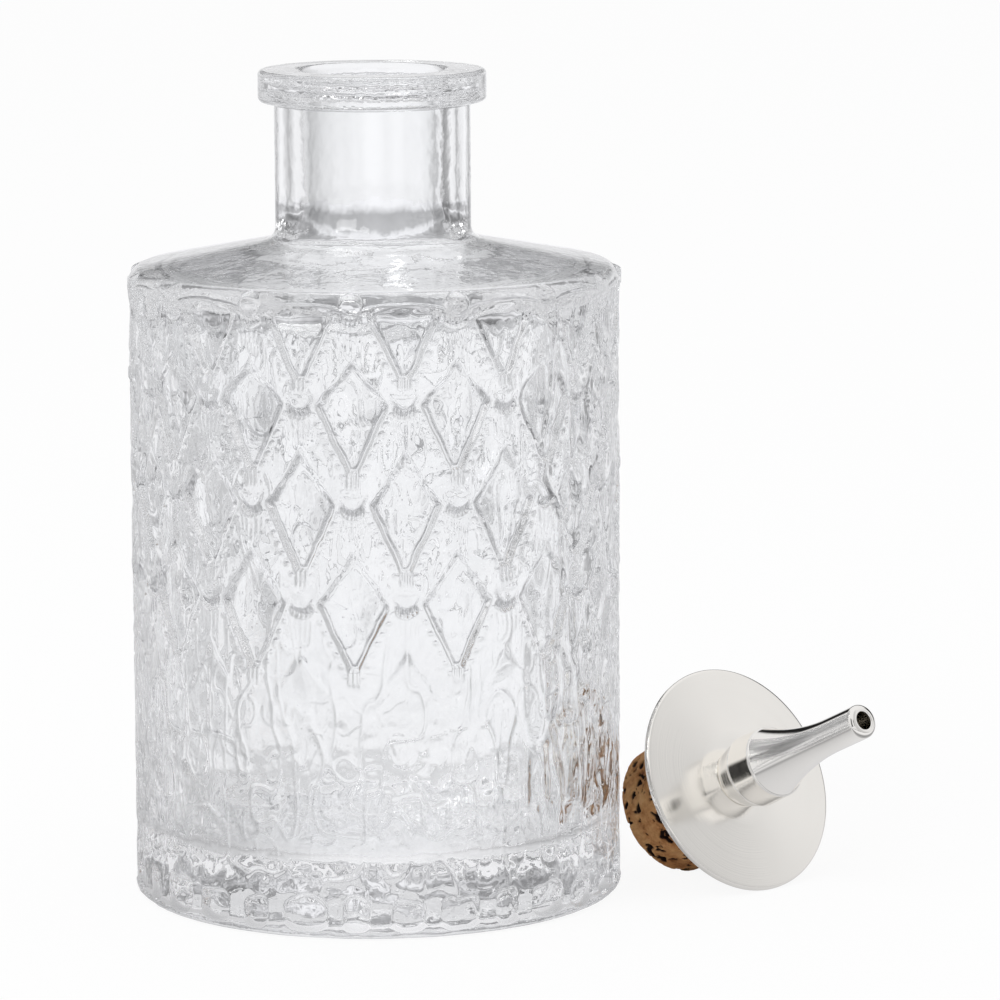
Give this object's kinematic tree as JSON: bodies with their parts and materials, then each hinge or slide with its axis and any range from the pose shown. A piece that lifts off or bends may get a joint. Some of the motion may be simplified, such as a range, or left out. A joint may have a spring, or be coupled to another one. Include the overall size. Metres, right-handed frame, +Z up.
{
  "type": "bitters bottle",
  "caption": "Clear pressed-glass bitters bottle with a diamond pattern, its cork dasher stopper taken off and lying beside it.",
  "frame": {"origin": "centre of the bottle's base, on the plane it stands on", "axes": "+Z up along the bottle's axis and out of its mouth, -Y towards the viewer of the front, +X towards the lying stopper"},
  "size_m": [0.1021, 0.068, 0.114],
  "materials": {
    "clear_glass": "polished",
    "natural_cork": "matte",
    "satin_plate": "satin",
    "polished_plate": "polished",
    "tube_metal": "drawn"
  },
  "bodies": {
    "bottle": {"glass_bottle": "clear_glass"},
    "stopper": {"cork_stopper": "natural_cork", "stem_tube": "tube_metal", "flange_disc": "satin_plate", "seat_ring": "polished_plate", "dasher_nozzle": "polished_plate"}
  },
  "joints": [
    {"name": "stopper_lift", "type": "slide", "parent": "bottle", "child": "stopper", "axis": [0, 0, 1], "range_m": [0, 0.15]}
  ]
}
